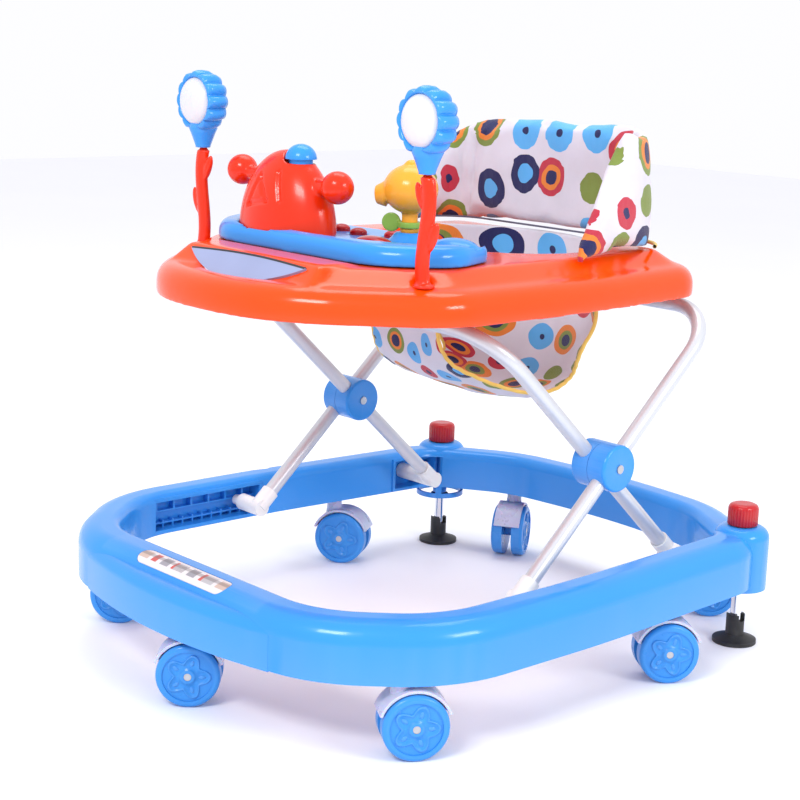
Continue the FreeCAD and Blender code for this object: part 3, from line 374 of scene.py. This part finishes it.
def grid_faces(rows, columns, wrap=False):
    """Quads of a grid of points stored row by row; wrap joins the last column to the first."""
    faces = []
    for i in range(rows - 1):
        for j in range(columns if wrap else columns - 1):
            k = (j + 1) % columns
            faces.append((i * columns + j, i * columns + k,
                          (i + 1) * columns + k, (i + 1) * columns + j))
    return faces


def double_faces(rows, columns):
    """Faces of a cloth with an outer and an inner layer of points, closed along its four edges."""
    count = columns + 1
    size = (rows + 1) * count
    faces = grid_faces(rows + 1, count)
    faces += [tuple(size + v for v in reversed(face)) for face in faces]
    for i in range(rows):
        for j in (0, columns):
            a, b = i * count + j, (i + 1) * count + j
            faces.append((a, b, size + b, size + a))
    for j in range(columns):
        for i in (0, rows):
            a, b = i * count + j, i * count + j + 1
            faces.append((a, b, size + b, size + a))
    return faces


def lathe(name, profile, turn, body, material, count=64, ripple=lambda r, a, i: r):
    """A closed turned form: profile of (radius, height) about local Z, then placed by a matrix."""
    points = []
    for i, (radius, height) in enumerate(profile):
        for j in range(count):
            angle = 2 * math.pi * j / count
            reach = ripple(radius, angle, i)
            points.append(turn @ Vector((reach * math.cos(angle), reach * math.sin(angle), height)))
    faces = grid_faces(len(profile), count, wrap=True)
    for row, height in ((0, profile[0][1]), (len(profile) - 1, profile[-1][1])):
        if profile[row][0] > 1e-5:
            points.append(turn @ Vector((0, 0, height)))
            pole = len(points) - 1
            for j in range(count):
                faces.append((row * count + j, row * count + (j + 1) % count, pole))
    thing = make(name, points, faces, body, material)
    tidy(thing)
    return thing


def tidy(thing, merge=1e-6):
    """Merge points closer than a distance, if one is given, and turn every face outwards."""
    work = bmesh.new()
    work.from_mesh(thing.data)
    if merge:
        bmesh.ops.remove_doubles(work, verts=work.verts, dist=merge)
    bmesh.ops.recalc_face_normals(work, faces=work.faces)
    work.to_mesh(thing.data)
    work.free()


def applied(thing):
    """Fix a piece's modifiers into its mesh."""
    bpy.context.view_layer.update()
    seen = thing.evaluated_get(bpy.context.evaluated_depsgraph_get())
    mesh = bpy.data.meshes.new_from_object(seen)
    old = thing.data
    thing.modifiers.clear()
    thing.data = mesh
    bpy.data.meshes.remove(old)
    for polygon in thing.data.polygons:
        polygon.use_smooth = True


def frame_to(origin, along, side=(0, 0, 1)):
    """A matrix whose Z runs along a direction from a point."""
    z = Vector(along).normalized()
    x = Vector(side).cross(z)
    if x.length < 1e-6:
        x = Vector((1, 0, 0))
    x.normalize()
    y = z.cross(x)
    turn = Matrix((x, y, z)).transposed().to_4x4()
    turn.translation = Vector(origin)
    return turn


def through(stations, t):
    """Smooth (Catmull-Rom) values at t between 0 and 1 through rows of numbers."""
    last = len(stations) - 1
    spot = min(max(t, 0.0), 1.0) * last
    i = min(int(spot), last - 1)
    f = spot - i
    rows = [stations[min(max(k, 0), last)] for k in (i - 1, i, i + 1, i + 2)]
    out = []
    for p, q, r, s in zip(*rows):
        out.append(0.5 * (2 * q + (r - p) * f + (2 * p - 5 * q + 4 * r - s) * f * f
                          + (3 * q - p - 3 * r + s) * f ** 3))
    return out


# ---------------------------------------------------------------- casters

def middle(node):
    """The middle of a node's box."""
    low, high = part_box(node)
    return (Vector(low) + Vector(high)) / 2


AXLES = {j["child"]: (Vector(j["pos_m"]), Vector(j["axis"])) for j in frame["joints"]
         if j["name"].startswith("roll_")}


def wheel_face(word, side):
    """Star relief on a wheel's outer face: five lobes round a hub boss and studs between them."""
    centre, axle = AXLES["wheels_" + word]
    out = axle * side
    turn = frame_to(centre + out * 0.0180, out)
    count = 100
    rows = []

    def outline(angle, inner, outer):
        return inner + (outer - inner) * (0.5 + 0.5 * math.cos(5 * angle)) ** 0.8

    for low, high, height in ((0.0150, 0.0232, -0.0012), (0.0146, 0.0228, 0.0014), (0.0138, 0.0219, 0.0020),
                              (0.0126, 0.0205, 0.0019), (0.0120, 0.0199, 0.0010)):
        rows.append([(outline(2 * math.pi * j / count, low, high), height) for j in range(count)])
    for radius, height in ((0.0076, 0.0012), (0.0072, 0.0024), (0.0050, 0.0026), (0.0038, 0.0024)):
        rows.append([(radius, height)] * count)
    points = []
    for row in rows:
        for j, (reach, height) in enumerate(row):
            angle = 2 * math.pi * j / count
            points.append(turn @ Vector((reach * math.cos(angle), reach * math.sin(angle), height)))
    star = make("wheel_star_%s_%s" % (word, "near" if side < 0 else "far"), points,
                grid_faces(len(rows), count, wrap=True), "wheels_" + word, wheel_blue)
    tidy(star)
    for i in range(5):
        angle = 2 * math.pi * i / 5
        spot = turn @ Vector((0.0140 * math.cos(angle), 0.0140 * math.sin(angle), -0.0008))
        lathe("wheel_stud_%s_%s_%d" % (word, "near" if side < 0 else "far", i),
              [(0.0021, 0), (0.0021, 0.0018), (0.0015, 0.0026), (0.0, 0.0028)],
              frame_to(spot, out) @ Matrix.Rotation(angle, 4, "Z") @ Matrix.Diagonal((1.7, 1, 1, 1)),
              "wheels_" + word, wheel_blue, count=14)


for word in CASTERS:
    for side in (1, -1):
        wheel_face(word, side)


# ---------------------------------------------------------------- flower mirrors

def flower(word):
    """Scalloped frame on a cone, rounded petals, the domed lens, and three black discs behind that paint
    the shade inside its screw holes.
    """
    centre = middle("mirror_dome_" + word)
    x, z = centre.x, centre.z
    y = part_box("mirror_dome_" + word)[1][1] - 0.0055
    body = "mirror_head_" + word
    turn = frame_to((x, y, z), (0, -1, 0))
    count = 216
    petals = 12

    def scallop(reach, angle, row):
        lobe = abs(math.cos(petals * angle / 2)) ** 0.8
        return reach - depth[row] * (1 - lobe)

    profile = [(0.010, -0.0200), (0.0240, -0.0198), (0.0285, -0.0180), (0.0312, -0.0125), (0.0320, -0.0050),
               (0.0318, 0.0010), (0.0306, 0.0050), (0.0288, 0.0066), (0.0268, 0.0066), (0.0256, 0.0058),
               (0.0248, 0.0052), (0.0244, 0.0030), (0.010, 0.0026)]
    depth = [0, 0.002, 0.0035, 0.0048, 0.0052, 0.0050, 0.0042, 0.0026, 0.001, 0, 0, 0, 0]
    frame_piece = lathe("flower_frame_" + word, profile, turn, body, blue, count=count, ripple=scallop)
    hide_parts("mirror_frame_" + word)
    cone = frame_to((x, y + 0.007, z), (0, 0, -1))
    lathe("flower_cone_" + word,
          [(0.0, 0.018), (0.0135, 0.022), (0.0150, 0.028), (0.0128, 0.033), (0.0096, 0.0415),
           (0.0080, 0.0460), (0.0078, 0.0478), (0.0060, 0.0480), (0.0056, 0.040), (0.0, 0.0398)],
          cone, body, blue, count=40)
    dome = lathe("flower_lens_" + word,
                 [(0.0, 0.0135), (0.006, 0.0132), (0.0118, 0.0122), (0.0168, 0.0106), (0.0208, 0.0084),
                  (0.0234, 0.0058), (0.0244, 0.0040), (0.0246, 0.0028), (0.010, 0.0024)],
                 turn, body, pearl, count=64)
    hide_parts("mirror_dome_" + word)
    # three black discs on the frame's back: painted shade standing for the insides of its screw holes
    for i, (dx, dz) in enumerate(((0.0, 0.022), (0.021, 0.002), (-0.021, 0.002))):
        spot = Vector((x + dx, y + 0.0198, z + dz))
        lathe("flower_hole_shade_%s_%d" % (word, i),
              [(0.0032, -0.001), (0.0032, 0.0006), (0.0024, 0.0009), (0.0020, 0.0002), (0.0, 0.0001)],
              frame_to(spot, (0, 1, 0)), body, black, count=20)


for word, _ in SIDES:
    flower(word)


# ---------------------------------------------------------------- stems and toys

def softened(name, node, body, material, voxel, rounds):
    """A moulding with the same form as a node, its joins blended and its edges softened."""
    source = NODES[node]
    points = [source.matrix_world @ v.co for v in source.data.vertices]
    thing = make(name, points, [tuple(p.vertices) for p in source.data.polygons], None, material)
    remesh = thing.modifiers.new("remesh", "REMESH")
    remesh.mode = "VOXEL"
    remesh.voxel_size = voxel
    smooth = thing.modifiers.new("soften", "SMOOTH")
    smooth.iterations = rounds
    applied(thing)
    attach(thing, body)
    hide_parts(node)
    return thing


def carved(thing, centre, lines, depth, width):
    """Press grooves into a piece's front along straight lines given as (x, z) pairs from a centre."""
    normals = [v.normal.copy() for v in thing.data.vertices]
    for vertex, normal in zip(thing.data.vertices, normals):
        if normal.y > -0.2:
            continue
        spot = Vector((vertex.co.x - centre.x, vertex.co.z - centre.z))
        for start, end in lines:
            a, b = Vector(start), Vector(end)
            share = min(1.0, max(0.0, (spot - a).dot(b - a) / (b - a).length_squared))
            away = (spot - a - (b - a) * share).length
            if away < width:
                vertex.co -= normal * depth * (0.5 + 0.5 * math.cos(math.pi * away / width))


GROOVES = [((-0.024, -0.014), (-0.012, 0.016)), ((-0.024, -0.014), (0.006, -0.008)),
           ((-0.012, 0.016), (0.006, -0.008)), ((0.014, 0.020), (0.024, -0.006))]


def toys():
    """Stems, console, tray and toys with softened edges; the red toy also has its grooves."""
    for word, _ in SIDES:
        softened("stem_moulding_" + word, "mirror_stem_" + word, "tray", stem_red, 0.0012, 12)
    red = softened("red_toy_moulding", "red_toy_body", "tray", stem_red, 0.0014, 8)
    low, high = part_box("red_toy_body")
    centre = Vector(((low[0] + high[0]) / 2, low[1], (low[2] + high[2]) / 2))
    carved(red, centre, GROOVES, 0.0022, 0.0042)
    softened("console_moulding", "toy_console", "tray", blue, 0.0018, 10)
    softened("tray_moulding", "tray_shell", "tray", orange, 0.0021, 30)
    softened("bird_moulding", "yellow_toy", "bird", yellow, 0.0012, 10)
    softened("leaf_moulding", "yellow_toy_leaf", "bird", green, 0.0009, 4)


toys()


# ---------------------------------------------------------------- stoppers

def stopper(word):
    """Ribbed push cap, and the black collar that the rod slides in."""
    low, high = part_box("stopper_cap_" + word)
    centre = middle("stopper_cap_" + word)
    base = Vector((centre.x, centre.y, low[2]))
    radius = (high[0] - low[0]) / 2

    def ribbed(reach, angle, row):
        return reach - (0.0005 if reach > radius * 0.97 and math.cos(30 * angle) < 0 else 0.0)

    cap = lathe("stopper_button_" + word,
                [(radius - 0.002, 0.0), (radius, 0.0010), (radius, 0.0185), (radius - 0.0005, 0.0205),
                 (radius - 0.0018, 0.0225), (radius - 0.0042, 0.0236), (radius - 0.007, 0.0240),
                 (0.004, 0.0236), (0.0, 0.0236)],
                Matrix.Translation(base), "stopper_" + word, cap_red, count=180, ripple=ribbed)
    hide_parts("stopper_cap_" + word)
    lathe("stopper_collar_" + word,
          [(0.0066, 0.0), (0.0105, 0.0), (0.0112, 0.0008), (0.0112, 0.0034), (0.0104, 0.0042),
           (0.0066, 0.0042)],
          Matrix.Translation((centre.x, centre.y, 0.0605)), "base", black, count=48)


for word, _ in SIDES:
    stopper(word)


# ---------------------------------------------------------------- seat

def cloth_uv(thing, flatten):
    """Flat coordinates, in metres of cloth, for the print and the weave."""
    layer = thing.data.uv_layers.new(name="cloth")
    for loop in thing.data.loops:
        layer.data[loop.index].uv = flatten(thing.data.vertices[loop.vertex_index].co)


def crumple(point, amount, scale, seed):
    """Smooth, repeatable wrinkling of a point, in metres."""
    shift = noise.noise_vector(point * scale + Vector((seed, 0, 0)))
    fine = noise.noise_vector(point * scale * 2.7 + Vector((0, seed, 0)))
    return (shift + fine * 0.35) * amount


# plan of the seat back's middle surface, from the near wing round the back to the far wing
BACK_WIDTH = 0.162
BACK_REAR = 0.192
BACK_CORNER = 0.056
BACK_FRONT = 0.036
BACK_SHARE = 0.875
BACK_LOW = 0.4325


def plan_path(count):
    """Evenly spaced points (x, y) along the back's plan, with their outward directions.

    The far wing sags inside the tray, so the path stops short of it.
    """
    straight = BACK_REAR - BACK_CORNER - BACK_FRONT
    bend = BACK_CORNER * math.pi / 2
    across = 2 * (BACK_WIDTH - BACK_CORNER)
    total = 2 * straight + 2 * bend + across
    out = []
    for i in range(count + 1):
        s = BACK_SHARE * total * i / count
        flip = 1
        if s > total / 2:
            s = total - s
            flip = -1
        if s < straight:
            point, way = (BACK_WIDTH, BACK_FRONT + s), (1.0, 0.0)
        elif s < straight + bend:
            angle = (s - straight) / BACK_CORNER
            way = (math.cos(angle), math.sin(angle))
            point = (BACK_WIDTH - BACK_CORNER + BACK_CORNER * way[0],
                     BACK_REAR - BACK_CORNER + BACK_CORNER * way[1])
        else:
            point, way = (BACK_WIDTH - BACK_CORNER - (s - straight - bend), BACK_REAR), (0.0, 1.0)
        out.append(((point[0] * flip, point[1]), (way[0] * flip, way[1])))
    return out, total


# height of the back's top at even steps along the plan
BACK_TOP = [(0.551,), (0.553,), (0.552,), (0.549,), (0.555,), (0.559,), (0.557,), (0.560,), (0.559,),
            (0.556,), (0.547,), (0.522,), (0.480,)]


def seat_back():
    """The padded back: a curved wall that is open at the front, its ends leaning back."""
    columns = 150
    rows = 26
    path, total = plan_path(columns)
    points = []
    for layer in (1, -1):
        for i in range(rows + 1):
            t = i / rows
            for j, ((x, y), (nx, ny)) in enumerate(path):
                s = j / columns
                top = through(BACK_TOP, s)[0]
                z = BACK_LOW + (top - BACK_LOW) * t
                lean = 0.78 * (z - 0.433)
                side = max(0.0, 1.0 - (y - BACK_FRONT) / (BACK_REAR - BACK_CORNER - BACK_FRONT))
                y_here = y + lean * side
                x_here = x * (1 - 0.07 * t)
                flare = 0.010 * (1 - t) ** 2 * side * (1 if x > 0 else 0.4)
                x_here += math.copysign(flare, x)
                edge = min(1.0, 6 * t, 6 * (1 - t), 14 * s, 14 * (1 - s))
                thick = 0.0035 + 0.0035 * math.sqrt(max(edge, 0.0))
                drop = 0.008 * (1 - t) ** 6 * side
                points.append(Vector((x_here + nx * thick * layer, y_here + ny * thick * layer, z - drop)))
    wall = make("seat_back_cover", points, double_faces(rows, columns), None, cotton)
    tidy(wall)
    puffed(wall, 0.005, 0.006, 4.0)

    centres = [Vector(p) for p, _ in path]

    def flatten(co):
        flat = Vector((co.x, co.y))
        best = min(range(len(centres)), key=lambda k: (centres[k] - flat).length_squared)
        return (BACK_SHARE * total * best / columns + 0.21, co.z + 0.013)

    for vertex in wall.data.vertices:
        vertex.co += crumple(vertex.co, 0.0022, 16.0, 3.0)
    cloth_uv(wall, flatten)
    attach(wall, "tray")
    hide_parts("seat_back")
    return wall


def puffed(thing, voxel, cap, pressure):
    """Swell a padded piece with a short cloth simulation, and limit how far it moves."""
    remesh = thing.modifiers.new("remesh", "REMESH")
    remesh.mode = "VOXEL"
    remesh.voxel_size = voxel
    applied(thing)
    before = [v.co.copy() for v in thing.data.vertices]
    cloth = thing.modifiers.new("cloth", "CLOTH")
    cloth.settings.use_pressure = True
    cloth.settings.uniform_pressure_force = pressure
    cloth.settings.effector_weights.gravity = 0
    scene = bpy.context.scene
    for number in range(1, 15):
        scene.frame_set(number)
    applied(thing)
    scene.frame_set(1)
    for vertex, start in zip(thing.data.vertices, before):
        move = vertex.co - start
        if move.length > cap:
            vertex.co = start + move * (cap / move.length)


# the bucket's centre line from the front of the tray opening, under the seat, to its rear:
# y, z, half width, and how far the side edges lie behind and above the centre line
BUCKET = [(-0.0190, 0.4310, 0.060, 0.004, 0.0), (-0.0240, 0.385, 0.051, 0.002, 0.0),
          (-0.0230, 0.340, 0.046, -0.004, 0.002), (-0.0060, 0.300, 0.052, -0.002, 0.006),
          (0.0380, 0.274, 0.068, 0.0, 0.009), (0.0980, 0.259, 0.080, 0.0, 0.011),
          (0.1430, 0.268, 0.088, -0.012, 0.016), (0.1740, 0.305, 0.104, -0.045, 0.008),
          (0.1860, 0.360, 0.120, -0.051, 0.0), (0.1860, 0.431, 0.125, -0.070, 0.0)]


# height of the tray's opening, and how much of the print's flat width and length the bucket takes
OPENING_HEIGHT = 0.431
PRINT_WIDTH = 0.22
PRINT_LENGTH = 0.62


def bucket_point(t, u, thick=0.0):
    """A point of the hung seat: t runs from front to rear, u from the right edge to the left.

    The right edge hangs slacker than the left.
    """
    y, z, half, back, lift = through(BUCKET, t)
    y2, z2 = through(BUCKET, t + 0.01)[:2]
    y1, z1 = through(BUCKET, t - 0.01)[:2]
    along = Vector((0, y2 - y1, z2 - z1)).normalized()
    bend = abs(u) ** 2.2
    gather = 0.0007 * math.sin(t * 190) * abs(u) ** 6
    slack = 1.0 + 0.3 * math.sin(math.pi * t) if u < 0 else 1.0
    point = Vector((half * u * slack, y + back * bend, z + lift * bend))
    outward = Vector((0, along.z, -along.y))
    outward.x = -0.9 * u * back / max(half, 0.02)
    outward.normalize()
    return point + outward * (thick + gather)


def bucket_folds(point):
    """The hung cloth's folds, which fade out towards the tray's opening."""
    hold = min(1.0, max(0.0, (OPENING_HEIGHT - point.z) * 25))
    return crumple(point, 0.0035 * hold, 14.0, 9.0)


def seat_bucket():
    """Front strap, crotch and rear panel in one piece, with the two leg openings at its sides."""
    rows, columns = 130, 44
    points = []
    for layer in (1, -1):
        for i in range(rows + 1):
            for j in range(columns + 1):
                u = 2 * j / columns - 1
                rim = min(1.0, 8 * (1 - abs(u)))
                point = bucket_point(i / rows, u, layer * (0.0012 + 0.0018 * math.sqrt(max(rim, 0))))
                points.append(point)
    count = columns + 1
    flats = []
    for k in range(len(points)):
        across = 0.5 * (2 * (k % count) / columns - 1) * PRINT_WIDTH
        flats.append((across, (k % (len(points) // 2)) // count / rows * PRINT_LENGTH))
    piece = make("seat_bucket_cover", points, double_faces(rows, columns), "tray", cotton)
    layer = piece.data.uv_layers.new(name="cloth")
    for loop in piece.data.loops:
        layer.data[loop.index].uv = flats[loop.vertex_index]
    tidy(piece, merge=0)
    for vertex in piece.data.vertices:
        vertex.co += bucket_folds(vertex.co)
    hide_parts("seat_bucket")
    return piece


def bias_tape(name, points, body, material, width=0.0042):
    """Binding folded over an edge: a soft oval tube along it."""
    curve = bpy.data.curves.new(name, "CURVE")
    curve.dimensions = "3D"
    curve.bevel_depth = width / 2
    curve.bevel_resolution = 3
    curve.resolution_u = 4
    spline = curve.splines.new("NURBS")
    spline.points.add(len(points) - 1)
    for target, point in zip(spline.points, points):
        target.co = (*point, 1.0)
    spline.order_u = 3
    spline.use_endpoint_u = True
    curve.materials.append(material)
    thing = bpy.data.objects.new(name, curve)
    bpy.context.scene.collection.objects.link(thing)
    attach(thing, body)
    return thing


def bindings():
    """Yellow tape round both leg openings and under the near wing, and the back's dark seam."""
    for word, side in SIDES:
        edge = []
        for i in range(60):
            t = 0.04 + 0.93 * i / 59
            point = bucket_point(t, side)
            edge.append(point + bucket_folds(point))
        bias_tape("leg_binding_" + word, edge, "tray", binding)
    path, _ = plan_path(60)
    wing = [Vector((x + 0.012 * nx, y + 0.012 * ny, 0.4335)) for (x, y), (nx, ny) in path[15:22]]
    bias_tape("wing_binding", wing, "tray", binding)
    seam = [Vector((x - 0.009 * nx, y - 0.009 * ny, 0.4355)) for (x, y), (nx, ny) in path[6:58]]
    bias_tape("back_seam", seam, "tray", thread, width=0.0022)


def lens_seal():
    """Dark bead in the joint along the lens's upper edge, which droops a little to both ends."""
    _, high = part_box("windscreen")
    edge = []
    for share in (-0.98, -0.5, 0.0, 0.5, 0.98):
        droop = 0.003 * share * share
        edge.append(Vector((high[0] * share, high[1] - 0.0016 - droop, high[2] - 0.0004 - droop)))
    bias_tape("lens_seal", edge, "tray", black, width=0.003)


seat_back()
seat_bucket()
bindings()
lens_seal()


# ---------------------------------------------------------------- floor, light and camera

# name, place, what it points at, width and power of each soft lamp
LAMPS = (("key", (0.7, -1.9, 1.9), (0, -0.1, 0.2), 0.9, 30),
         ("side", (2.1, 0.3, 1.3), (0.1, 0, 0.2), 0.8, 17),
         ("top", (-0.4, 0.5, 2.4), (0, 0, 0.2), 1.6, 16))


def studio():
    """A pale floor, a white surrounding and three soft lamps."""
    half = 6.0
    floor_grain = Graph("floor")
    floor_grain.join(floor_grain.mix(floor_grain.noise(2.0), (0.93, 0.93, 0.96), (0.96, 0.96, 0.99)),
                     floor_grain.shader.inputs["Base Color"])
    floor_grain.set(Roughness=0.6)
    floor_grain.bump(floor_grain.noise(90.0), 0.02, 0.0005)
    floor = make("floor", [(-half, -half, 0), (half, -half, 0), (half, half, 0), (-half, half, 0)],
                 [(0, 1, 2, 3)], None, floor_grain.material)
    world = bpy.data.worlds.new("room")
    bpy.context.scene.world = world
    world.use_nodes = True
    background = world.node_tree.nodes["Background"]
    background.inputs["Color"].default_value = (0.95, 0.95, 1.0, 1)
    background.inputs["Strength"].default_value = 1.04
    for name, place, aim, size, power in LAMPS:
        light = bpy.data.lights.new(name, "AREA")
        light.shape = "RECTANGLE"
        light.size = size
        light.size_y = size * 0.6
        light.energy = power
        lamp = bpy.data.objects.new(name, light)
        lamp.location = place
        lamp.rotation_euler = (Vector(aim) - Vector(place)).to_track_quat("-Z", "Y").to_euler()
        bpy.context.scene.collection.objects.link(lamp)
    bpy.context.scene.view_settings.view_transform = "Standard"


def camera():
    """A long lens in front and to the right, a little above the tray."""
    yaw, pitch, roll = math.radians(47.22), math.radians(12.08), math.radians(2.01)
    forward = Vector((-math.sin(yaw) * math.cos(pitch), math.cos(yaw) * math.cos(pitch), -math.sin(pitch)))
    right = Vector((math.cos(yaw), math.sin(yaw), 0))
    up = right.cross(forward)
    c, s = math.cos(roll), math.sin(roll)
    axes = Matrix((right * c + up * s, up * c - right * s, -forward)).transposed()
    eye = bpy.data.cameras.new("camera")
    eye.sensor_width = 36.0
    eye.lens = 78.8
    eye.shift_x = -0.0236
    eye.shift_y = 0.0086
    thing = bpy.data.objects.new("camera", eye)
    thing.matrix_world = Matrix.Translation((1.3485, -1.2546, 0.6454)) @ axes.to_4x4()
    bpy.context.scene.collection.objects.link(thing)
    bpy.context.scene.camera = thing


studio()
camera()
